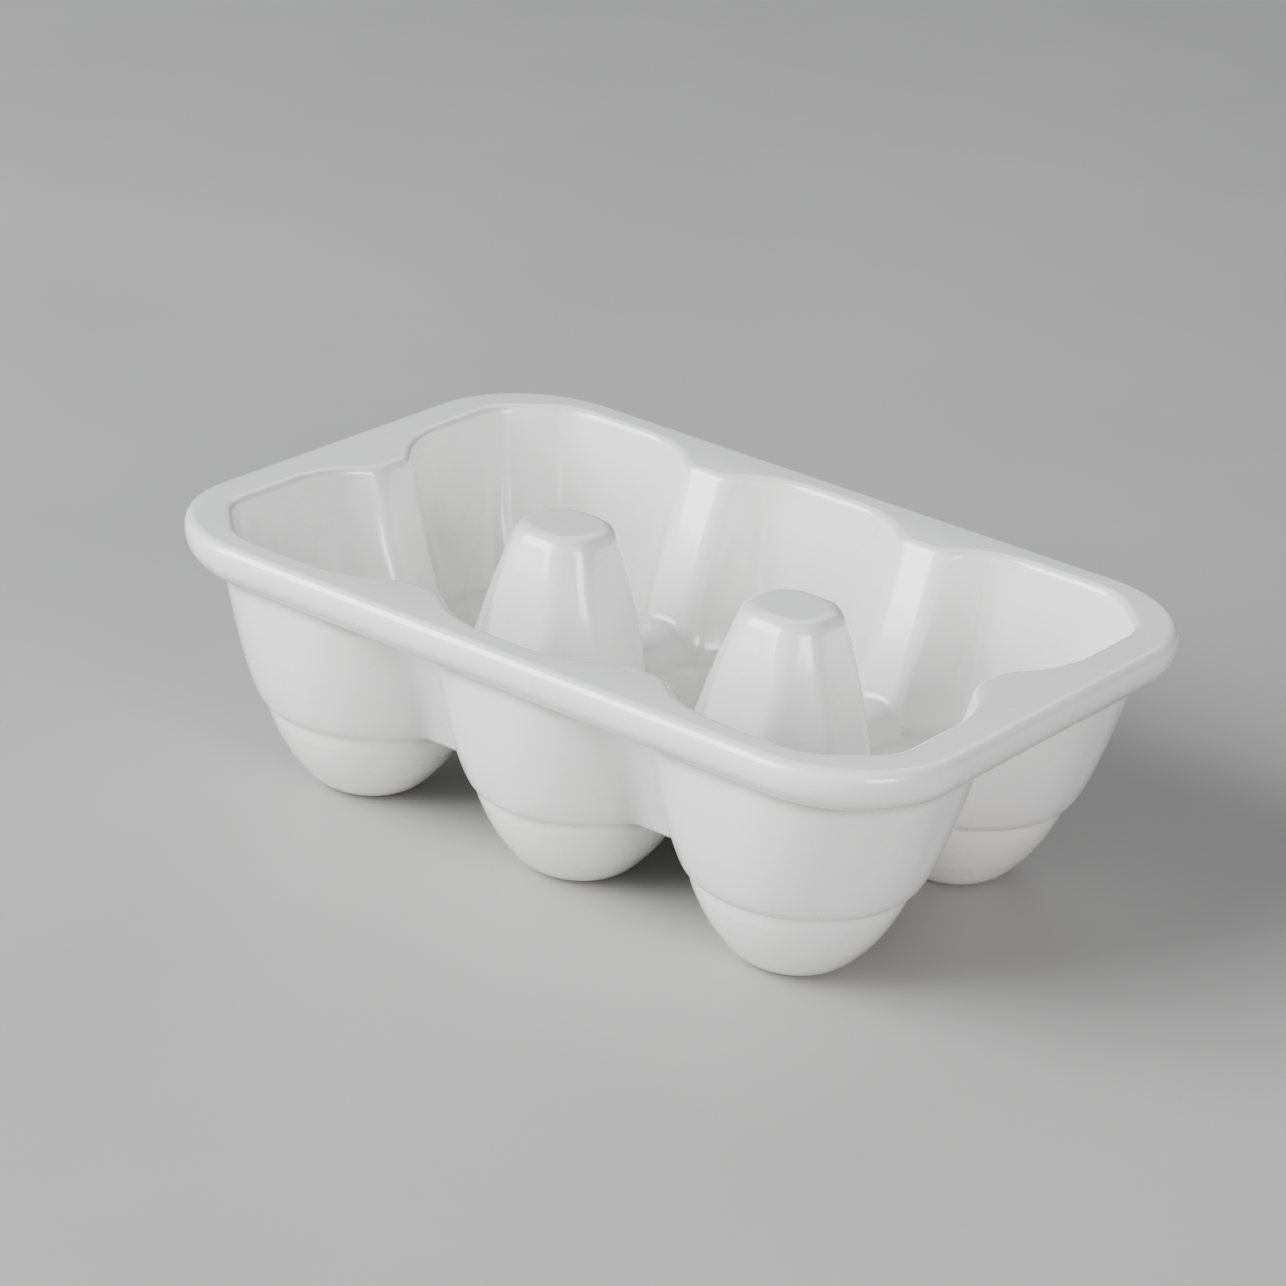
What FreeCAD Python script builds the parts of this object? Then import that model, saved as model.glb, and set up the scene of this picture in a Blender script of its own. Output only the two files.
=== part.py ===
"""Six-egg porcelain tray: one glazed casting, divided at its natural features.

Frame: millimetres, +Z up, +X along the long side, origin under the middle of the tray at the level
of the feet.
"""
import FreeCAD
import Part
import math
import os

V = FreeCAD.Vector

# ---- cup grid
POST_X = (-25.0, 25.0)       # the two posts, and the lines between neighbouring cups
COLUMNS = (                  # name, distance of the cup axes along X and to each side of the middle
    ("left", -49.2, 25.0),
    ("middle", 0.0, 24.0),
    ("right", 49.2, 25.0),
)
END_CUP_X, END_CUP_Y = COLUMNS[2][1:]

# ---- heights
Z_STEP = 17.0         # line where the lower bowls meet the walls
Z_CREST = 22.8        # top of the saddles between cups
Z_RIM = 43.8          # crisp lower edge of the rim
Z_TOP = 52.2          # overall height

# ---- rim
RIM_L = 167.0
RIM_W = 112.6
RIM_CORNER = 24.5
RIM_ROLL = 2.2        # radius of the upper outer edge
# rolled outer face below it: level and distance inside the outline
RIM_FACE = ((Z_RIM, 4.6), (44.6, 2.75), (46.0, 1.4), (48.0, 0.4), (49.9, 0.0), (Z_TOP, 0.0))

# ---- walls, per level: z, cup axis to long wall, to end wall, to corner facet, corner radius,
#      notch depth, notch half width at its floor, at its mouth, floor radius, mouth radius
OUTER = (
    (Z_STEP, 19.8, 20.0, 19.9, 16.5, 11.8, 7.0, 15.0, 1.0, 14.0),
    (18.0, 21.6, 21.8, 21.7, 17.5, 13.1, 5.6, 14.6, 1.0, 14.0),
    (21.0, 22.6, 23.0, 22.8, 18.0, 12.8, 5.4, 14.0, 1.0, 14.0),
    (27.0, 24.4, 25.0, 24.8, 18.5, 11.8, 5.0, 13.2, 1.0, 13.0),
    (36.0, 25.9, 27.2, 27.1, 19.0, 9.4, 4.6, 11.8, 1.0, 11.0),
    (Z_RIM, 26.8, 29.0, 29.2, 19.5, 6.9, 4.2, 10.6, 1.0, 9.0),
)
# the inner opening, same columns; here the notch is the rib that stands into the opening
INNER = (
    (20.0, 18.6, 18.8, 18.9, 15.0, 12.0, 4.6, 14.4, 2.0, 12.0),
    (27.0, 21.0, 21.4, 21.8, 13.0, 12.0, 5.0, 13.2, 2.4, 9.0),
    (37.0, 22.7, 23.4, 24.4, 9.0, 10.4, 5.0, 12.2, 2.4, 6.0),
    (51.0, 24.4, 25.1, 26.9, 6.0, 7.7, 4.8, 11.2, 2.4, 5.0),
    (Z_TOP, 25.6, 26.3, 28.1, 7.0, 7.7, 3.8, 10.6, 1.6, 4.0),
)

# ---- posts: level and half width
POST_OUTER = ((Z_STEP, 19.2), (Z_TOP, 9.1))
POST_HOLLOW = ((Z_STEP, 14.4), (Z_CREST, 11.3), (48.0, 6.6))
POST_DIAGONAL = 1.06  # distance of the corner facets over that of the side facets
POST_EDGE = 2.0       # radius of the upright edges
POST_LIP = 1.8        # radius around the flat top

# ---- lower bowls
FOOT_R = 8.0          # flat foot
BOWL_MID_R = 16.0     # outside radius at Z_MID
BOWL_R = 20.2         # outside radius at the step line
Z_MID = 7.5
FLOOR_T = 3.6         # thickness of the bowl floor
BOWL_IN_MID = 14.0    # inner radius at Z_IN_MID
Z_IN_MID = 8.6
BOWL_IN_STEP = 16.8   # inner radius at the step line
BOWL_IN_CREST = 19.4  # inner radius at the saddle crest
BOWL_IN_HIGH = 20.2   # inner radius where the round bowl runs out against the posts
Z_HIGH = 37.0
SADDLE_R = 8.2        # radius of the saddle ridges
SADDLE_BURY = 2.0     # how far their ends run into the outer wall

# ---- division of the casting
RIB_HALF = 10.0       # half width of a rib node
RIB_IN = 30.5         # the long-side rib nodes begin at this distance from the middle line
END_RIB_IN = 55.5     # the same for the end ribs
SADDLE_HALF = 11.0    # half width of a saddle node
POST_HALF = 17.0      # half width of a post node at the level of the saddles
POST_WIDE = 21.0      # the same above the saddles
BIG = 400.0


def box(x0, x1, y0, y1, z0, z1):
    return Part.makeBox(x1 - x0, y1 - y0, z1 - z0, V(x0, y0, z0))


def rounded_wire(corners, z):
    """Closed wire through corners (x, y, radius), each corner replaced by a tangent arc."""
    n = len(corners)
    joints = []
    for i in range(n):
        x, y, r = corners[i]
        here = V(x, y, z)
        back = V(corners[i - 1][0], corners[i - 1][1], z) - here
        ahead = V(corners[(i + 1) % n][0], corners[(i + 1) % n][1], z) - here
        back.normalize()
        ahead.normalize()
        half = back.getAngle(ahead) / 2
        reach = r / math.tan(half)
        middle = back + ahead
        middle.normalize()
        waist = here + middle * (r / math.sin(half) - r)
        joints.append((here + back * reach, waist, here + ahead * reach))
    edges = []
    for i in range(n):
        start, waist, end = joints[i]
        edges.append(Part.Arc(start, waist, end).toShape())
        edges.append(Part.makeLine(end, joints[(i + 1) % n][0]))
    return Part.Wire(edges)


def tray_outline(level):
    """Outline of all six cups at one level, with the notches between neighbouring cups."""
    z, side, end, diagonal, corner_r, depth, floor_w, mouth_w, floor_r, mouth_r = level
    hx = END_CUP_X + end
    hy = END_CUP_Y + side
    line = POST_X[1]
    facet = math.sqrt(2) * diagonal
    quarter = [
        (hx - depth, floor_w, floor_r),
        (hx, mouth_w, mouth_r),
        (hx, END_CUP_Y + facet - end, corner_r),
        (END_CUP_X + facet - side, hy, corner_r),
        (line + mouth_w, hy, mouth_r),
        (line + floor_w, hy - depth, floor_r),
        (line - floor_w, hy - depth, floor_r),
        (line - mouth_w, hy, mouth_r),
    ]
    right = quarter + [(-x, y, r) for x, y, r in reversed(quarter)]
    return rounded_wire(right + [(-x, -y, r) for x, y, r in right], z)


def octagon(cx, cy, half, radius, z):
    side = (math.sqrt(2) * POST_DIAGONAL - 1) * half
    ring = []
    for a, b in ((half, side), (side, half), (-side, half), (-half, side)):
        ring.append((a, b))
    ring = ring + [(-a, -b) for a, b in ring]
    return rounded_wire([(cx + a, cy + b, radius) for a, b in ring], z)


def turned(edges, cx, cy):
    """Solid of revolution about the upright axis of one cup; the edges lie in the XZ plane."""
    solid = Part.Face(Part.Wire(edges)).revolve(V(0, 0, 0), V(0, 0, 1), 360)
    solid.translate(V(cx, cy, 0))
    return solid


def cup_hollow(cx, cy):
    """Round inside of one cup, from its floor to where it runs out against the posts."""
    floor_edge = V(FOOT_R - 1, 0, FLOOR_T)
    belly = V(BOWL_IN_MID, 0, Z_IN_MID)
    step = V(BOWL_IN_STEP, 0, Z_STEP)
    crest = V(BOWL_IN_CREST, 0, Z_CREST)
    high = V(BOWL_IN_HIGH, 0, Z_HIGH)
    edges = [
        Part.makeLine(V(0, 0, FLOOR_T), floor_edge),
        Part.Arc(floor_edge, belly, step).toShape(),
        Part.makeLine(step, crest),
        Part.makeLine(crest, high),
        Part.makeLine(high, V(0, 0, Z_HIGH)),
        Part.makeLine(V(0, 0, Z_HIGH), V(0, 0, FLOOR_T)),
    ]
    return turned(edges, cx, cy)


def bowl_outside(cx, cy):
    """Domed lower bowl standing on its flat foot."""
    foot = V(FOOT_R, 0, 0)
    belly = V(BOWL_MID_R, 0, Z_MID)
    step = V(BOWL_R, 0, Z_STEP)
    edges = [
        Part.makeLine(V(0, 0, 0), foot),
        Part.Arc(foot, belly, step).toShape(),
        Part.makeLine(step, V(0, 0, Z_STEP)),
        Part.makeLine(V(0, 0, Z_STEP), V(0, 0, 0)),
    ]
    return turned(edges, cx, cy)


def ridge(x0, y0, x1, y1):
    """Rounded saddle ridge between two points, cut flat at the step level."""
    start = V(x0, y0, Z_CREST - SADDLE_R)
    run = V(x1 - x0, y1 - y0, 0)
    bar = Part.makeCylinder(SADDLE_R, run.Length, start, run)
    return bar.common(box(-BIG, BIG, -BIG, BIG, Z_STEP, Z_CREST + 1))


def rim_outline(z, inset):
    hx, hy = RIM_L / 2 - inset, RIM_W / 2 - inset
    corners = [(hx, -hy), (hx, hy), (-hx, hy), (-hx, -hy)]
    return rounded_wire([(x, y, RIM_CORNER - inset) for x, y in corners], z)


def rim_blank():
    blank = Part.makeLoft([rim_outline(z, inset) for z, inset in RIM_FACE], True, True)
    upper = [e for e in blank.Edges if e.BoundBox.ZMin > Z_TOP - 0.01]
    return blank.makeFillet(RIM_ROLL, upper)


def post(cx):
    body = Part.makeLoft([octagon(cx, 0, half, POST_EDGE, z) for z, half in POST_OUTER], True, True)
    lip = [e for e in body.Edges if e.BoundBox.ZMin > Z_TOP - 0.01]
    return body.makeFillet(POST_LIP, lip)


def casting():
    """The whole tray as one solid."""
    cups = [(x, side * y) for name, x, y in COLUMNS for side in (-1, 1)]
    skin = Part.makeLoft([tray_outline(level) for level in OUTER], True, True)
    opening = Part.makeLoft([tray_outline(level) for level in INNER], True, True)
    shell = skin.fuse(rim_blank()).cut(opening)
    side_end, far_end = RIB_IN + SADDLE_BURY, END_RIB_IN + SADDLE_BURY
    ridges = [ridge(x, -side_end, x, side_end) for x in POST_X]
    ridges += [ridge(-far_end, 0, far_end, 0)]
    solid = shell.multiFuse([post(x) for x in POST_X] + ridges)
    solid = solid.common(box(-BIG, BIG, -BIG, BIG, Z_STEP, Z_TOP))
    solid = solid.multiFuse([bowl_outside(x, y) for x, y in cups])
    hollows = [cup_hollow(x, y) for x, y in cups]
    for x in POST_X:
        core = [octagon(x, 0, half, POST_EDGE, z) for z, half in POST_HOLLOW]
        hollows.append(Part.makeLoft(core, True, True))
    return solid.cut(hollows)


def save(name, shape):
    """Write one node; a node is one closed solid."""
    solids = sorted(shape.Solids, key=lambda s: s.Volume)
    print(name, len(solids), round(solids[-1].Volume, 1), solids[-1].isValid())
    solids[-1].exportStep("parts/" + name + ".step")


def take(body, region, name):
    """Save the part of the body inside the region and return what is left of the body."""
    save(name, body.common(region))
    return body.cut(region)


os.makedirs("parts", exist_ok=True)
tray = casting()
print("casting", len(tray.Solids), round(tray.Volume, 1), tray.isValid())

posts = tuple(zip(("left", "right"), POST_X))
for name, x in posts:
    foot = box(x - POST_HALF, x + POST_HALF, -POST_HALF, POST_HALF, Z_STEP, Z_CREST)
    shaft = box(x - POST_WIDE, x + POST_WIDE, -POST_WIDE, POST_WIDE, Z_CREST, BIG)
    tray = take(tray, foot.fuse(shaft), "post_" + name)

tray = take(tray, box(-BIG, BIG, -BIG, BIG, Z_RIM, BIG), "rim")

spans = tuple(zip(("left", "middle", "right"), (-BIG,) + POST_X, POST_X + (BIG,)))
for name, x0, x1 in spans:
    tray = take(tray, box(x0, x1, -BIG, 0, -1, Z_STEP), "bowl_front_" + name)
    tray = take(tray, box(x0, x1, 0, BIG, -1, Z_STEP), "bowl_back_" + name)

for name, x in posts:
    for side, y0, y1 in (("front", -BIG, -RIB_IN), ("back", RIB_IN, BIG)):
        region = box(x - RIB_HALF, x + RIB_HALF, y0, y1, Z_STEP, Z_RIM)
        tray = take(tray, region, "rib_" + side + "_" + name)
for name, x0, x1 in (("left", -BIG, -END_RIB_IN), ("right", END_RIB_IN, BIG)):
    region = box(x0, x1, -RIB_HALF, RIB_HALF, Z_STEP, Z_RIM)
    tray = take(tray, region, "rib_end_" + name)

for name, x in posts:
    for side, y0, y1 in (("front", -RIB_IN, -POST_HALF), ("back", POST_HALF, RIB_IN)):
        region = box(x - SADDLE_HALF, x + SADDLE_HALF, y0, y1, Z_STEP, Z_CREST)
        tray = take(tray, region, "saddle_" + side + "_" + name)
near = POST_X[1] - POST_HALF
far = POST_X[1] + POST_HALF
for name, x0, x1 in (("left", -END_RIB_IN, -far), ("middle", -near, near), ("right", far, END_RIB_IN)):
    region = box(x0, x1, -SADDLE_HALF, SADDLE_HALF, Z_STEP, Z_CREST)
    tray = take(tray, region, "saddle_" + name)

for name, x0, x1 in spans:
    save("wall_front_" + name, tray.common(box(x0, x1, -BIG, 0, Z_STEP, Z_RIM)))
    save("wall_back_" + name, tray.common(box(x0, x1, 0, BIG, Z_STEP, Z_RIM)))
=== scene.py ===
import bmesh
import bpy
import math
import numpy as np
from mathutils import Matrix, Vector


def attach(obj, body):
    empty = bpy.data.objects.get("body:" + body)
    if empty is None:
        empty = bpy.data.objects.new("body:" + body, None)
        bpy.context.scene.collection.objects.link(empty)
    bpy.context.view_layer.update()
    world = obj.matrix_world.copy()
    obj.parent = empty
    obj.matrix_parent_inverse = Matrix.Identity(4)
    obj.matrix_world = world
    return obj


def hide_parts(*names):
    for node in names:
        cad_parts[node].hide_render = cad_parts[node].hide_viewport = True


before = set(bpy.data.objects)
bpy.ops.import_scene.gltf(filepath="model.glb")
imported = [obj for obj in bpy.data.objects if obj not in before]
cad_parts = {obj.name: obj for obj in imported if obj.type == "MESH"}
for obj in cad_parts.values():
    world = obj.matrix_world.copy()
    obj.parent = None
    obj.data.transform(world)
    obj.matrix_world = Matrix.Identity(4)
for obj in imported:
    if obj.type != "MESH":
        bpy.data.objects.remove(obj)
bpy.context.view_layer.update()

# All shape sizes below are millimetres in the CAD frame; meshes are scaled to metres at the end.

# places of the features; the tray is symmetric about both middle planes
CUP_X, CUP_Y, CUP_Y_MIDDLE = 49.2, 25.0, 24.0
MID = 25.0  # side ribs and saddles, between two cups
POST_X = 25.9
Z_FOOT, Z_STEP, Z_OPEN, Z_CREST = 0.0, 17.0, 18.5, 22.8
Z_RIM, Z_WALL, Z_HOLLOW, Z_TOP = 43.8, 47.5, 48.0, 52.2
FLOOR_T = 3.6
WALL_T = 2.6

# rim: a land that falls a little inward, and a roll that curls over and down outside it
RIM_X, RIM_Y, RIM_CORNER = 83.5, 56.3, 24.5
OVERHANG = 4.6
ROLL_UP, ROLL_DOWN = 2.3, 6.1
ROLL_POWER, ROLL_SCALE = 1.7, 4.2
LAND_WIDTH, LAND_FALL = 8.0, 0.004

# webs between the cups, and the solid middle of the outline
WEB_HALF = 16.0
CORE_X, CORE_Y = 54.0, 29.0

SADDLE_R = 8.2
SADDLE_BURY = 2.0
POST_DIAGONAL, HOLLOW_DIAGONAL = 1.08, 1.04

# roundings within a feature
WEB_ROUND, CUPS_ROUND, ROLL_ROUND = 1.0, 2.0, 1.0
RIB_NOSE = 2.0
WALL_ROUND, LEDGE_ROUND = 1.5, 1.0
SADDLE_ROUND = 2.0
POST_EDGE, POST_LIP = 1.8, 2.4
HOLLOW_EDGE, HOLLOW_TOP = 2.6, 3.0
FOOT_ROUND, FLOOR_ROUND = 0.8, 3.0

# roundings where a feature meets the rest of the tray
RIM_SEAM, MOUTH_SEAM, SADDLE_SEAM, POST_SEAM = 0.7, 1.4, 1.6, 2.0
STEP_SEAM, BOWL_SEAM, CUP_SEAM, HOLLOW_SEAM = 1.6, 0.5, 2.5, 1.6

# how far the field grows per millimetre from a sloping wall, so that it stays close to a true distance
POST_SLOPE, BOWL_SLOPE, CUP_SLOPE = 0.96, 0.86, 0.9

ROOT2 = math.sqrt(2)
LEVEL_STEP = 0.1
LEVELS = np.arange(-12.0, 66.0, LEVEL_STEP)
BEYOND = 100


def profile(points, soft=2.5):
    """A smooth size-by-height curve through (height, size) points, carried on straight at both ends."""
    zs, vs = [float(a) for a, _ in points], [float(b) for _, b in points]
    low = (vs[1] - vs[0]) / (zs[1] - zs[0])
    high = (vs[-1] - vs[-2]) / (zs[-1] - zs[-2])
    zs = [zs[0] - BEYOND] + zs + [zs[-1] + BEYOND]
    vs = [vs[0] - BEYOND * low] + vs + [vs[-1] + BEYOND * high]
    n = int(3 * soft / LEVEL_STEP)
    wide = np.arange(LEVELS[0] - n * LEVEL_STEP, LEVELS[-1] + (n + 0.5) * LEVEL_STEP, LEVEL_STEP)
    bell = np.exp(-0.5 * (np.arange(-n, n + 1) * LEVEL_STEP / soft) ** 2)
    smooth = np.convolve(np.interp(wide, zs, vs), bell / bell.sum(), mode="valid")[: len(LEVELS)]
    return lambda z: np.interp(z, LEVELS, smooth)


# outer wall of a cup
out_half = profile([(17, 20.8), (18, 21.5), (21, 22.6), (25, 23.9), (31, 25.2), (38, 26.2), (44, 26.8)])
out_end = profile([(17, 21.0), (18, 21.8), (21, 23.0), (25, 24.4), (31, 26.0), (38, 27.7), (44, 29.0)])
out_diag = profile([(17, 20.8), (18, 21.6), (21, 22.7), (25, 24.1), (31, 25.9), (38, 27.6), (44, 29.2)])
out_soft = profile([(16, 6.0), (44.5, 6.5)])
web_face = profile([(17, 33.0), (37, 42.0), (45, 45.5)])
end_face = profile([(17, 58.0), (37, 67.0), (45, 71.0)])
# inner opening
in_half = profile([(18, 17.2), (20, 18.2), (27, 20.8), (37, 22.7), (51, 24.4)])
in_end = profile([(18, 17.2), (20, 18.3), (27, 21.2), (37, 23.4), (51, 25.1)])
in_diag = profile([(18, 17.4), (20, 18.3), (27, 21.6), (37, 24.4), (51, 26.9)])
in_soft = profile([(20, 5.0), (31, 3.0), (51, 2.6)])
# ribs that stand into the opening
rib_depth = profile([(20, 11.4), (27, 12.0), (37, 10.4), (51, 7.7)])
rib_tip = profile([(20, 4.4), (27, 4.8), (37, 5.0), (51, 4.8)])
rib_base = profile([(20, 14.0), (27, 13.2), (37, 12.4), (51, 12.2)])
rib_soft = profile([(20, 5.2), (27, 3.2), (37, 1.7), (45, 1.7), (51, 6.0)], 1.5)
end_tip = profile([(20, 57.2), (27, 59.4), (32, 61.5), (38, 63.8), (45, 65.7), (51, 67.4)])
# posts
post_half = profile([(17, 18.9), (52.2, 8.3)])
hollow_half = profile([(17, 14.2), (23, 11.1), (48, 6.0)])
# lower bowls, outside and inside
bowl_out = profile([(-3, 3.0), (0, 7.8), (1, 9.9), (2, 11.1), (3.5, 12.6), (7, 15.4), (10.5, 17.5),
                    (14, 19.1), (18, 20.2)], 0.6)
bowl_in = profile([(1, 2.0), (3.6, 8.0), (6, 11.4), (9, 13.6), (12, 15.0), (17, 16.8), (23, 19.2),
                   (30, 19.6), (37, 20.2), (48, 21.0)], 1.0)


def smax(a, b, k):
    """Larger of the two, with a rounding of size k where they cross."""
    h = np.clip(0.5 + 0.5 * (a - b) / k, 0.0, 1.0)
    return b + (a - b) * h + k * h * (1.0 - h)


def smin(a, b, k):
    """Smaller of the two, with a rounding of size k where they cross."""
    return -smax(-a, -b, k)


def section(u, v, half_u, half_v, diag, k):
    """Distance across a rounded eight-sided outline about its own middle."""
    u, v = np.abs(u), np.abs(v)
    return smax(smax(u - half_u, v - half_v, k), (u + v) / ROOT2 - diag, k)


def rounded_rectangle(x, y):
    """Distance outward from the outermost line of the rim, seen from above."""
    qx = x - (RIM_X - RIM_CORNER)
    qy = y - (RIM_Y - RIM_CORNER)
    outside = np.hypot(np.maximum(qx, 0), np.maximum(qy, 0))
    return outside + np.minimum(np.maximum(qx, qy), 0) - RIM_CORNER


def outer_wall(x, y, z):
    """The upright outline around the six cups and the webs between them."""
    soft = out_soft(z)
    corner = section(x - CUP_X, y - CUP_Y, out_end(z), out_half(z), out_diag(z), soft)
    middle_half = out_half(z) + CUP_Y - CUP_Y_MIDDLE
    middle = section(x, y - CUP_Y_MIDDLE, out_half(z), middle_half, out_diag(z), soft)
    cups = np.minimum(corner, middle)
    web = smax(y - web_face(z), np.abs(x - MID) - WEB_HALF, WEB_ROUND)
    end = smax(x - end_face(z), y - WEB_HALF, WEB_ROUND)
    core = np.maximum(y - CORE_Y, x - CORE_X)
    between = np.minimum(np.minimum(web, end), core)
    return smin(cups, between, CUPS_ROUND)


def rim(x, y, z):
    """The land and the roll, before the opening is taken out of them."""
    edge = rounded_rectangle(x, y)
    inward = np.clip(-OVERHANG - edge, 0.0, LAND_WIDTH)
    top = z - (Z_TOP - ROLL_UP) + LAND_FALL * inward ** 2
    upper = np.hypot(np.maximum(edge + ROLL_UP, 0), np.maximum(top, 0)) - ROLL_UP
    out = np.maximum(edge + OVERHANG, 0) / OVERHANG
    down = np.maximum(-top, 0) / ROLL_DOWN
    lower = (out ** ROLL_POWER + down ** ROLL_POWER) ** (1 / ROLL_POWER) - 1
    return smax(upper, lower * ROLL_SCALE, ROLL_ROUND)


def rib(across, along, tip, wall, z):
    """A rounded rib that stands from the wall into the opening; across is measured from its middle plane."""
    depth = wall - tip
    half = rib_tip(z)
    run = rib_base(z) - half
    length = np.hypot(run, depth)
    flank = (across - half) * depth / length - (along - tip) * run / length
    return smax(tip - along, flank, RIB_NOSE)


def opening(x, y, z, outline):
    """The space that the cups share, narrowed by the ribs and by the thickness of the wall."""
    side, end = CUP_Y + in_half(z), CUP_X + in_end(z)
    inside = smax(y - side, x - end, in_soft(z))
    inside = smax(inside, ((x - CUP_X) + (y - CUP_Y)) / ROOT2 - in_diag(z), in_soft(z))
    side_rib = rib(np.abs(x - MID), y, side - rib_depth(z), side, z)
    end_rib = rib(y, x, end_tip(z), end, z)
    inside = smax(smax(inside, -side_rib, rib_soft(z)), -end_rib, rib_soft(z))
    inside = smax(inside, outline + WALL_T, WALL_ROUND)
    return smax(inside, Z_OPEN - z, LEDGE_ROUND)


def saddles(x, y, z):
    """Low round ridges from the posts to the side ribs, and along the middle to the end ribs."""
    height = z - (Z_CREST - SADDLE_R)
    across = np.hypot(x - MID, height) - SADDLE_R
    across = np.maximum(across, y - web_face(z) + SADDLE_BURY)
    along = np.hypot(y, height) - SADDLE_R
    along = np.maximum(along, x - end_face(z) + SADDLE_BURY)
    return smin(across, along, SADDLE_ROUND)


def post(x, y, z):
    half = post_half(z)
    shaft = section(x - POST_X, y, half, half, POST_DIAGONAL * half, POST_EDGE) * POST_SLOPE
    return smax(shaft, z - Z_TOP, POST_LIP)


def post_hollow(x, y, z):
    half = hollow_half(z)
    shaft = section(x - POST_X, y, half, half, HOLLOW_DIAGONAL * half, HOLLOW_EDGE) * POST_SLOPE
    return smax(shaft, z - Z_HOLLOW, HOLLOW_TOP)


def bowl(reach, z):
    """The outside of a lower bowl; reach is the distance from the upright axis of its cup."""
    dome = smax((reach - bowl_out(z)) * BOWL_SLOPE, Z_FOOT - z, FOOT_ROUND)
    return np.maximum(dome, z - Z_OPEN)


def cup(reach, z):
    """The round inside of a cup."""
    return smax((reach - bowl_in(z)) * CUP_SLOPE, FLOOR_T - z, FLOOR_ROUND)


def tray(x, y, z):
    """Signed distance to the glazed surface, negative inside the porcelain."""
    x, y = np.abs(x), np.abs(y)
    outline = outer_wall(x, y, z)
    body = smin(np.maximum(outline, z - Z_WALL), rim(x, y, z), RIM_SEAM)
    body = smax(body, -opening(x, y, z, outline), MOUTH_SEAM)
    body = smin(body, saddles(x, y, z), SADDLE_SEAM)
    body = smin(body, post(x, y, z), POST_SEAM)
    body = smax(body, Z_STEP - z, STEP_SEAM)
    reach = np.minimum(np.hypot(x, y - CUP_Y_MIDDLE), np.hypot(x - CUP_X, y - CUP_Y))
    body = smin(body, bowl(reach, z), BOWL_SEAM)
    body = smax(body, -cup(reach, z), CUP_SEAM)
    return smax(body, -post_hollow(x, y, z), HOLLOW_SEAM)


# mesh of the surface
CELL = 0.65
GRID_X, GRID_Y = 86, 60
GRID_LOW, GRID_HIGH = -2.0, 54.0
GRID_SHIFT = 0.37  # part of a cell, which keeps the flat faces off the planes of the grid
PROBE = 0.06
LEAST_SLOPE = 0.05
STRIDE = 0.6


def gradient(p):
    x, y, z = p.T
    gx = tray(x + PROBE, y, z) - tray(x - PROBE, y, z)
    gy = tray(x, y + PROBE, z) - tray(x, y - PROBE, z)
    gz = tray(x, y, z + PROBE) - tray(x, y, z - PROBE)
    return np.stack([gx, gy, gz], 1) / (2 * PROBE)


def settle(points, limit, rounds):
    """Moves points onto the surface along its gradient."""
    for _ in range(rounds):
        g = gradient(points)
        step = tray(*points.T) / np.maximum((g * g).sum(1), LEAST_SLOPE)
        points = points - g * np.clip(step, -limit, limit)[:, None]
    return points


def surface(cell):
    """Quad mesh of the whole tray surface, from a regular grid that is mirrored about both middle planes."""
    xs = (np.arange(int(GRID_X / cell)) + 0.5) * cell
    ys = (np.arange(int(GRID_Y / cell)) + 0.5) * cell
    zs = np.arange(GRID_LOW + GRID_SHIFT * cell, GRID_HIGH, cell)
    quarter = tray(xs[:, None, None], ys[None, :, None], zs[None, None, :])
    half = np.concatenate([quarter[::-1], quarter], 0)
    f = np.concatenate([half[:, ::-1], half], 1)

    total = np.zeros([n - 1 for n in f.shape] + [3])
    count = np.zeros([n - 1 for n in f.shape])
    solid = f < 0
    for axis in range(3):
        a = np.moveaxis(f, axis, 0)
        s = np.moveaxis(solid, axis, 0)
        cut = s[1:] != s[:-1]
        share = np.where(cut, a[:-1] / np.where(cut, a[:-1] - a[1:], 1), 0)
        # each crossed edge adds its crossing to the four cells around it
        for i in (0, 1):
            for j in (0, 1):
                rows = cut[:, i:cut.shape[1] - 1 + i, j:cut.shape[2] - 1 + j]
                part = share[:, i:cut.shape[1] - 1 + i, j:cut.shape[2] - 1 + j]
                shift = [part * rows, i * rows, j * rows]
                order = [axis] + [k for k in range(3) if k != axis]
                for k, value in zip(order, shift):
                    target = np.moveaxis(total[..., k], axis, 0)
                    target += value
                target = np.moveaxis(count, axis, 0)
                target += rows
    cells = np.nonzero(count > 0)
    number = np.full(count.shape, -1)
    number[cells] = np.arange(len(cells[0]))
    points = np.stack(cells, 1) + total[cells] / count[cells][:, None]
    points = points * cell + np.array((-xs[-1], -ys[-1], zs[0]))

    quads = []
    for axis in range(3):
        s = np.moveaxis(solid, axis, 0)
        n = np.moveaxis(number, axis, 0)
        cut = (s[1:] != s[:-1])[:, 1:-1, 1:-1]
        i, j, k = np.nonzero(cut)
        quad = np.stack([n[i, j, k], n[i, j + 1, k], n[i, j + 1, k + 1], n[i, j, k + 1]], 1)
        outward = s[:-1, 1:-1, 1:-1][i, j, k] if axis != 1 else ~s[:-1, 1:-1, 1:-1][i, j, k]
        quads.append(np.where(outward[:, None], quad, quad[:, ::-1]))
    return points, np.concatenate(quads)


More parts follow.
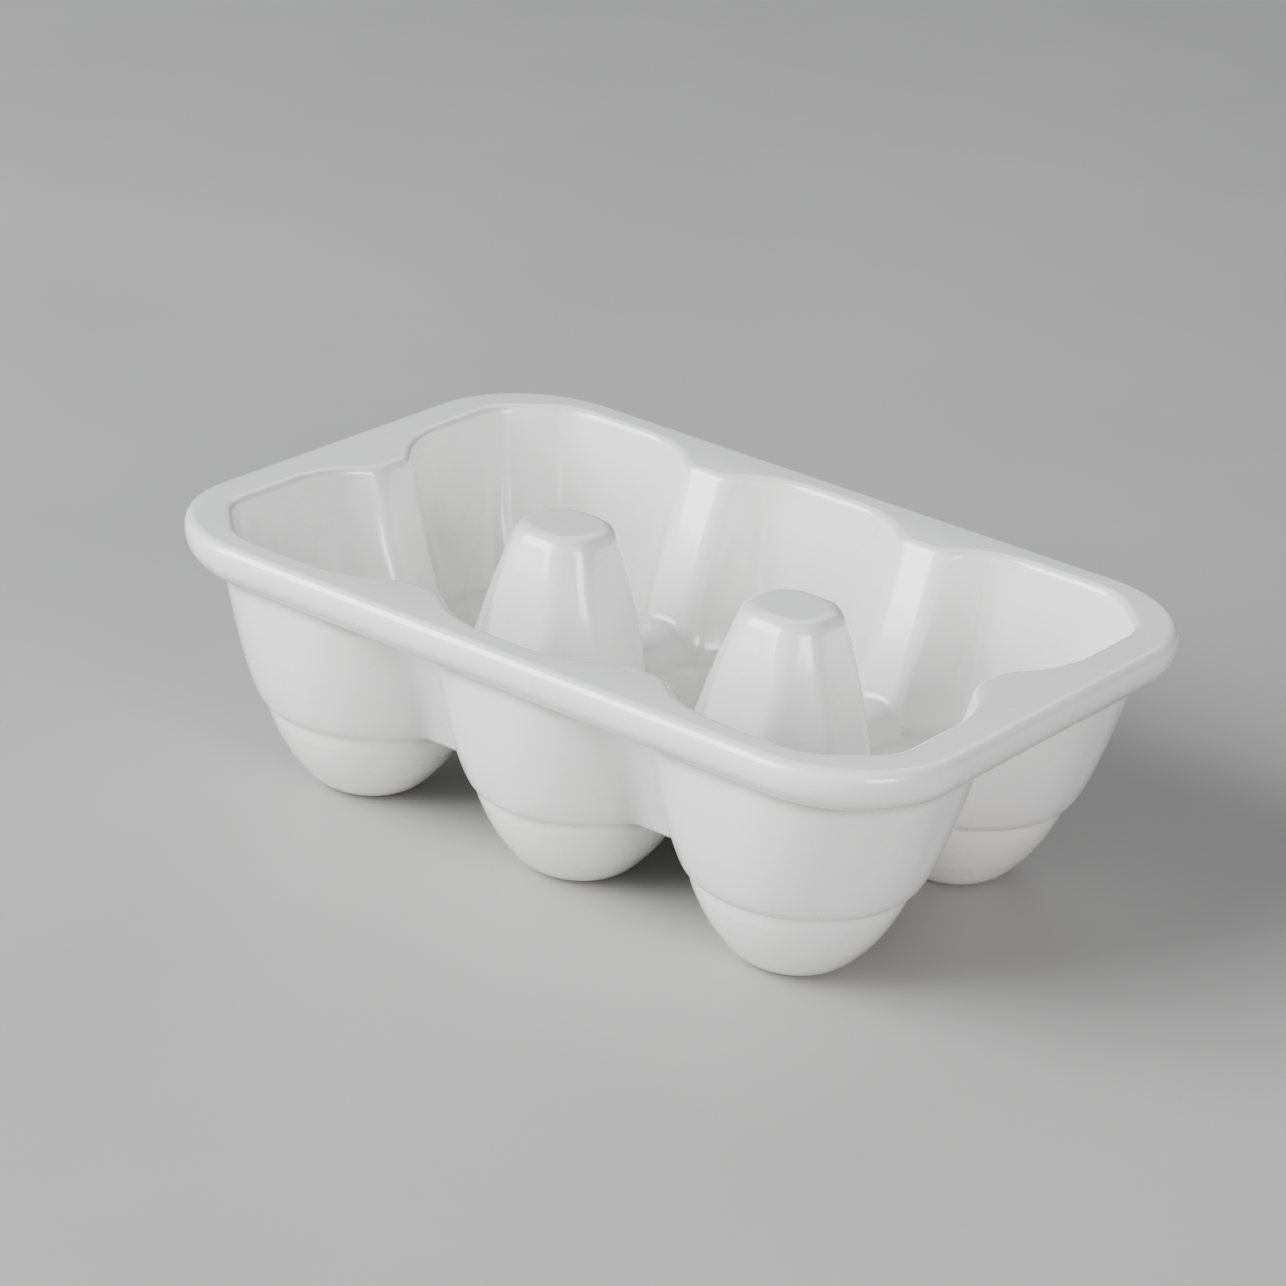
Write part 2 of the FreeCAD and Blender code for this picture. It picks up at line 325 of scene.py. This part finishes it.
def relax(points, quads, rounds, limit):
    """Evens out the mesh along the surface."""
    a = np.concatenate([quads[:, 0], quads[:, 1], quads[:, 2], quads[:, 3]])
    b = np.concatenate([quads[:, 1], quads[:, 2], quads[:, 3], quads[:, 0]])
    ends = np.concatenate([a, b])
    others = np.concatenate([b, a])
    degree = np.bincount(ends, minlength=len(points))[:, None]
    for _ in range(rounds):
        mean = np.stack([np.bincount(ends, points[others, k], len(points)) for k in range(3)], 1) / degree
        g = gradient(points)
        g /= np.linalg.norm(g, axis=1)[:, None]
        move = mean - points
        move -= g * (move * g).sum(1)[:, None]
        points = settle(points + STRIDE * move, limit, 1)
    return points


def linked(name, data):
    made = bpy.data.objects.new(name, data)
    bpy.context.scene.collection.objects.link(made)
    return made


def mesh_object(name, points, faces):
    data = bpy.data.meshes.new(name)
    data.from_pydata(points.tolist(), [], faces.tolist())
    data.update()
    return linked(name, data)


# division into pieces at the same joints as the CAD
FAR = 300.0
SPLIT_STEP = Z_STEP - 0.5
SPLIT_CREST = Z_CREST + 0.4
SPLIT_RIM = Z_RIM - 0.15
SADDLE_TOP = 27.0
RIB_HALF, RIB_IN, END_RIB_IN = 10.0, 30.5, 55.5
SADDLE_HALF, SADDLE_IN, POST_HALF, POST_WIDE = 11.0, 12.5, 17.0, 21.0
COLUMNS = (("left", -MID), ("right", MID))
SPANS = (("left", -FAR, -MID), ("middle", -MID, MID), ("right", MID, FAR))


def stack(x, y, rings):
    """Closed block about an upright axis, through square rings of (half x, half y, z)."""
    around = ((-1, -1), (1, -1), (1, 1), (-1, 1))
    corners = [(x + a * hx, y + b * hy, z) for hx, hy, z in rings for a, b in around]
    faces = [(3, 2, 1, 0)]
    for low in range(0, 4 * len(rings) - 4, 4):
        faces += [(low + i, low + (i + 1) % 4, low + 4 + (i + 1) % 4, low + 4 + i) for i in range(4)]
    last = 4 * len(rings) - 4
    faces.append((last, last + 1, last + 2, last + 3))
    return mesh_object("region", np.array(corners), np.array(faces))


def block(x0, x1, y0, y1, z0, z1):
    half_x, half_y = (x1 - x0) / 2, (y1 - y0) / 2
    return stack(x0 + half_x, y0 + half_y, [(half_x, half_y, z0), (half_x, half_y, z1)])


def boolean(source, region, operation):
    step = source.modifiers.new(operation, "BOOLEAN")
    step.operation = operation
    step.solver = "MANIFOLD"
    step.object = region
    bpy.context.view_layer.update()
    result = bpy.data.meshes.new_from_object(source.evaluated_get(bpy.context.evaluated_depsgraph_get()))
    source.modifiers.remove(step)
    return result


def drop_scraps(data):
    """Keeps the largest part of a mesh and drops the loose slivers that a cut can leave beside it."""
    mesh = bmesh.new()
    mesh.from_mesh(data)
    left = set(mesh.verts)
    parts = []
    while left:
        part = [left.pop()]
        for vertex in part:
            for link in vertex.link_edges:
                other = link.other_vert(vertex)
                if other in left:
                    left.remove(other)
                    part.append(other)
        parts.append(part)
    parts.sort(key=len)
    for part in parts[:-1]:
        bmesh.ops.delete(mesh, geom=part, context="VERTS")
    mesh.to_mesh(data)
    mesh.free()


def take(source, region, node):
    """Moves what lies inside the region from the source into a piece of its own."""
    piece = linked(node + "_glazed", boolean(source, region, "INTERSECT"))
    drop_scraps(piece.data)
    old = source.data
    source.data = boolean(source, region, "DIFFERENCE")
    bpy.data.meshes.remove(old)
    bpy.data.objects.remove(region)
    return node, piece


def divided(body):
    """The pieces of the tray, taken from the whole body one after another until nothing is left of it."""
    pieces = []
    for name, x in COLUMNS:
        foot = (POST_HALF, POST_HALF)
        shaft = (POST_WIDE, POST_WIDE)
        rings = [foot + (SPLIT_STEP,), foot + (SPLIT_CREST,), shaft + (SPLIT_CREST,), shaft + (FAR,)]
        pieces.append(take(body, stack(x, 0, rings), "post_" + name))
    pieces.append(take(body, block(-FAR, FAR, -FAR, FAR, SPLIT_RIM, FAR), "rim"))
    for name, x0, x1 in SPANS:
        for row, y0, y1 in (("front_", -FAR, 0), ("back_", 0, FAR)):
            pieces.append(take(body, block(x0, x1, y0, y1, -FAR, SPLIT_STEP), "bowl_" + row + name))
    for name, x in COLUMNS:
        for row, y0, y1 in (("front_", -FAR, -RIB_IN), ("back_", RIB_IN, FAR)):
            region = block(x - RIB_HALF, x + RIB_HALF, y0, y1, 0, FAR)
            pieces.append(take(body, region, "rib_" + row + name))
    for name, x0, x1 in (("left", -FAR, -END_RIB_IN), ("right", END_RIB_IN, FAR)):
        pieces.append(take(body, block(x0, x1, -RIB_HALF, RIB_HALF, 0, FAR), "rib_end_" + name))
    for name, x in COLUMNS:
        for row, y0, y1 in (("front_", -RIB_IN, -SADDLE_IN), ("back_", SADDLE_IN, RIB_IN)):
            region = block(x - SADDLE_HALF, x + SADDLE_HALF, y0, y1, 0, SADDLE_TOP)
            pieces.append(take(body, region, "saddle_" + row + name))
    for name, x0, x1 in (("left", -END_RIB_IN, -MID), ("middle", -MID, MID), ("right", MID, END_RIB_IN)):
        region = block(x0, x1, -SADDLE_HALF, SADDLE_HALF, 0, SADDLE_TOP)
        pieces.append(take(body, region, "saddle_" + name))
    for name, x0, x1 in SPANS:
        for row, y0, y1 in (("front_", -FAR, 0), ("back_", 0, FAR)):
            pieces.append(take(body, block(x0, x1, y0, y1, 0, FAR), "wall_" + row + name))
    bpy.data.objects.remove(body)
    return pieces


# how far the painted crease shade looks for a facing surface, and the thin glaze for the far side of an edge
CREASE_REACHES, EDGE_REACH = (3.0, 1.3), 1.6
# a face is part of a joint when its middle lies this deep and it is square to an axis
JOINT_DEPTH, SQUARE = 0.02, 0.9999
METRES = 0.001


def read(items, what, width, kind=float):
    """One value or row of values per item of a mesh."""
    values = np.empty(len(items) * width, kind)
    items.foreach_get(what, values)
    return values.reshape(-1, width) if width > 1 else values


def finish_surface(piece):
    """Smooth glaze on the outside, flat faces inside the joints, and metres."""
    data = piece.data
    places = read(data.vertices, "co", 3)
    normals = gradient(places)
    normals /= np.linalg.norm(normals, axis=1)[:, None]
    # crease: how enclosed each point is, which sets the painted shade in creases and hollows
    crease = np.zeros(len(places))
    for reach in CREASE_REACHES:
        outside = places + normals * reach
        crease = np.maximum(crease, np.clip(1 - tray(*outside.T) / reach, 0, 1))
    inside = places - normals * EDGE_REACH
    edge = np.clip(1 + tray(*inside.T) / EDGE_REACH, 0, 1)
    for name, values in (("crease", crease), ("edge", edge)):
        layer = data.attributes.new(name, "FLOAT", "POINT")
        layer.data.foreach_set("value", values.astype(np.float32))

    corners = read(data.loops, "vertex_index", 1, int)
    counts = read(data.polygons, "loop_total", 1, int)
    middles = read(data.polygons, "center", 3)
    flat = read(data.polygons, "normal", 3)
    joint = (tray(*middles.T) < -JOINT_DEPTH) & (np.abs(flat).max(1) > SQUARE)
    shading = np.where(np.repeat(joint, counts)[:, None], np.repeat(flat, counts, 0), normals[corners])
    data.polygons.foreach_set("use_smooth", np.ones(len(data.polygons), bool))
    data.normals_split_custom_set(shading)
    data.transform(Matrix.Scale(METRES, 4))
    data.update()


# glaze and floor colours
PORCELAIN, PORCELAIN_CLOUD = (0.875, 0.875, 0.862, 1), (0.835, 0.840, 0.832, 1)
# the dark grey for creases is painted shade, with a little greenish tint of glaze gathered there
CREASE_SHADE_AND_POOLED_GLAZE, THIN_GLAZE = (0.450, 0.460, 0.435, 1), (0.860, 0.845, 0.820, 1)
SPECK, BARE_FOOT = (0.66, 0.64, 0.60, 1), (0.72, 0.69, 0.64, 1)
FLOOR_DEEP, FLOOR_PALE = (0.380, 0.380, 0.374, 1), (0.405, 0.405, 0.399, 1)
FOOT_LOW, FOOT_HIGH = 0.0003, 0.0007  # metres: below and above the edge of the unglazed foot


def add(tree, kind, inputs, **settings):
    """A shader node; each input is either a plain value or another node's output."""
    made = tree.nodes.new(kind)
    for name, value in settings.items():
        setattr(made, name, value)
    for name, value in inputs.items():
        if isinstance(value, bpy.types.NodeSocket):
            tree.links.new(value, made.inputs[name])
        else:
            made.inputs[name].default_value = value
    return made


def noise(tree, where, scale, detail):
    return add(tree, "ShaderNodeTexNoise", {"Vector": where, "Scale": scale, "Detail": detail}).outputs["Fac"]


def ramp(tree, value, low, high, to_low, to_high):
    made = add(tree, "ShaderNodeMapRange", {"Value": value, "From Min": low, "From Max": high,
                                            "To Min": to_low, "To Max": to_high})
    return made.outputs["Result"]


def tinted(tree, base, colour, amount):
    """The base colour mixed with another by an amount; inputs 6 and 7 of the node are its two colours."""
    made = tree.nodes.new("ShaderNodeMix")
    made.data_type = "RGBA"
    for socket, value in ((made.inputs[0], amount), (made.inputs[6], base), (made.inputs[7], colour)):
        if isinstance(value, bpy.types.NodeSocket):
            tree.links.new(value, socket)
        else:
            socket.default_value = value
    return made.outputs[2]


def bumped(tree, height, strength, distance, **under):
    inputs = {"Height": height, "Strength": strength, "Distance": distance, **under}
    return add(tree, "ShaderNodeBump", inputs).outputs["Normal"]


def glaze_material():
    """White porcelain under a clear glossy glaze that runs thin on edges, with painted shade darkening its
    creases where a little glaze also gathers.
    """
    material = bpy.data.materials.new("white_glaze")
    material.use_nodes = True
    tree = material.node_tree
    shader = tree.nodes["Principled BSDF"]
    where = add(tree, "ShaderNodeTexCoord", {}).outputs["Object"]
    height = add(tree, "ShaderNodeSeparateXYZ", {"Vector": where}).outputs["Z"]
    crease = add(tree, "ShaderNodeAttribute", {}, attribute_name="crease").outputs["Fac"]
    edge = add(tree, "ShaderNodeAttribute", {}, attribute_name="edge").outputs["Fac"]

    clouds = ramp(tree, noise(tree, where, 22.0, 3.0), 0.35, 0.65, 0.0, 1.0)
    colour = tinted(tree, PORCELAIN, PORCELAIN_CLOUD, clouds)
    # painted shade in creases and hollows, with a little greenish tint of gathered glaze
    colour = tinted(tree, colour, CREASE_SHADE_AND_POOLED_GLAZE, ramp(tree, crease, 0.12, 0.55, 0.0, 0.95))
    colour = tinted(tree, colour, THIN_GLAZE, ramp(tree, edge, 0.1, 0.8, 0.0, 0.5))
    specks = add(tree, "ShaderNodeTexVoronoi", {"Vector": where, "Scale": 210.0}).outputs["Distance"]
    rare = ramp(tree, noise(tree, where, 61.0, 1.0), 0.60, 0.66, 0.0, 0.5)
    dots = ramp(tree, specks, 0.04, 0.07, 1.0, 0.0)
    speck = add(tree, "ShaderNodeMath", {0: dots, 1: rare}, operation="MULTIPLY")
    colour = tinted(tree, colour, SPECK, speck.outputs[0])
    bare = ramp(tree, height, FOOT_LOW, FOOT_HIGH, 1.0, 0.0)
    colour = tinted(tree, colour, BARE_FOOT, bare)
    tree.links.new(colour, shader.inputs["Base Color"])

    worn = ramp(tree, noise(tree, where, 48.0, 4.0), 0.3, 0.7, 0.22, 0.32)
    rough = add(tree, "ShaderNodeMath", {0: worn, 1: ramp(tree, bare, 0.0, 1.0, 0.0, 0.45)}, operation="ADD")
    tree.links.new(rough.outputs[0], shader.inputs["Roughness"])
    shader.inputs["IOR"].default_value = 1.55
    shader.inputs["Coat Weight"].default_value = 0.9
    shader.inputs["Coat Roughness"].default_value = 0.09

    waves = bumped(tree, noise(tree, where, 55.0, 2.0), 0.25, 0.0006)
    peel = bumped(tree, noise(tree, where, 700.0, 2.0), 0.12, 0.00005, Normal=waves)
    pits = bumped(tree, ramp(tree, specks, 0.03, 0.09, 0.0, 1.0), 0.2, 0.00005, Normal=peel)
    tree.links.new(pits, shader.inputs["Normal"])
    tree.links.new(peel, shader.inputs["Coat Normal"])
    return material


def floor_material():
    material = bpy.data.materials.new("pale_floor")
    material.use_nodes = True
    tree = material.node_tree
    shader = tree.nodes["Principled BSDF"]
    where = add(tree, "ShaderNodeTexCoord", {}).outputs["Object"]
    clouds = ramp(tree, noise(tree, where, 9.0, 5.0), 0.3, 0.7, 0.0, 1.0)
    tree.links.new(tinted(tree, FLOOR_DEEP, FLOOR_PALE, clouds), shader.inputs["Base Color"])
    tree.links.new(ramp(tree, clouds, 0.0, 1.0, 0.5, 0.62), shader.inputs["Roughness"])
    grain = bumped(tree, noise(tree, where, 900.0, 3.0), 0.2, 0.0001)
    tree.links.new(grain, shader.inputs["Normal"])
    return material


# studio, in metres
FLOOR_REACH = 1.5
LIGHTS = (
    # name, place, size of the panel, power, colour
    ("key", (-0.72, -1.0, 0.70), 1.1, 52.0, (0.985, 0.99, 1.0)),
    ("fill", (1.1, -0.45, 0.40), 0.5, 11.0, (1.0, 0.96, 0.97)),
    ("rear", (-0.3, 0.8, 0.9), 0.7, 2.5, (1.0, 1.0, 1.0)),
)
LIGHTS_AIM = (0, 0, 0.025)
SKY, SKY_STRENGTH = (0.92, 0.96, 1.0, 1.0), 0.16
LENS, SENSOR, VIEW_END = 116.476, 36.0, 20.0
CAMERA_PLACE = (0.40348, -0.57030, 0.33820)
CAMERA_TURN = (35.70, 23.40, 4.71)  # azimuth, elevation and roll in degrees


def add_floor():
    r = FLOOR_REACH
    corners = np.array([(-r, -r, 0), (r, -r, 0), (r, r, 0), (-r, r, 0)])
    floor = mesh_object("floor", corners, np.array([[0, 1, 2, 3]]))
    floor.data.materials.append(floor_material())


def add_lights():
    for name, place, size, power, colour in LIGHTS:
        lamp = bpy.data.lights.new(name, "AREA")
        lamp.size = size
        lamp.energy = power
        lamp.color = colour
        light = linked(name, lamp)
        light.location = place
        light.rotation_euler = (Vector(LIGHTS_AIM) - Vector(place)).to_track_quat("-Z", "Y").to_euler()
    world = bpy.data.worlds.new("studio")
    world.use_nodes = True
    sky = world.node_tree.nodes["Background"]
    sky.inputs["Color"].default_value = SKY
    sky.inputs["Strength"].default_value = SKY_STRENGTH
    bpy.context.scene.world = world


def add_camera():
    lens = bpy.data.cameras.new("camera")
    lens.sensor_width = SENSOR
    lens.lens = LENS
    lens.clip_end = VIEW_END
    camera = linked("camera", lens)
    azimuth, elevation, roll = (math.radians(v) for v in CAMERA_TURN)
    level = math.cos(elevation)
    back = Vector((math.sin(azimuth) * level, -math.cos(azimuth) * level, math.sin(elevation)))
    right = Vector((math.cos(azimuth), math.sin(azimuth), 0.0))
    up = back.cross(right)
    side = right * math.cos(roll) + up * math.sin(roll)
    top = up * math.cos(roll) - right * math.sin(roll)
    placed = Matrix((side, top, back)).transposed().to_4x4()
    placed.translation = Vector(CAMERA_PLACE)
    camera.matrix_world = placed
    bpy.context.scene.camera = camera


points, quads = surface(CELL)
points = settle(points, 0.4 * CELL, 3)
points = relax(points, quads, 3, 0.4 * CELL)
points = settle(points, 0.3 * CELL, 2)
glaze = glaze_material()
for node, piece in divided(mesh_object("tray", points, quads)):
    finish_surface(piece)
    piece.data.materials.clear()
    piece.data.materials.append(glaze)
    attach(piece, "root")
    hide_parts(node)

add_floor()
add_lights()
add_camera()
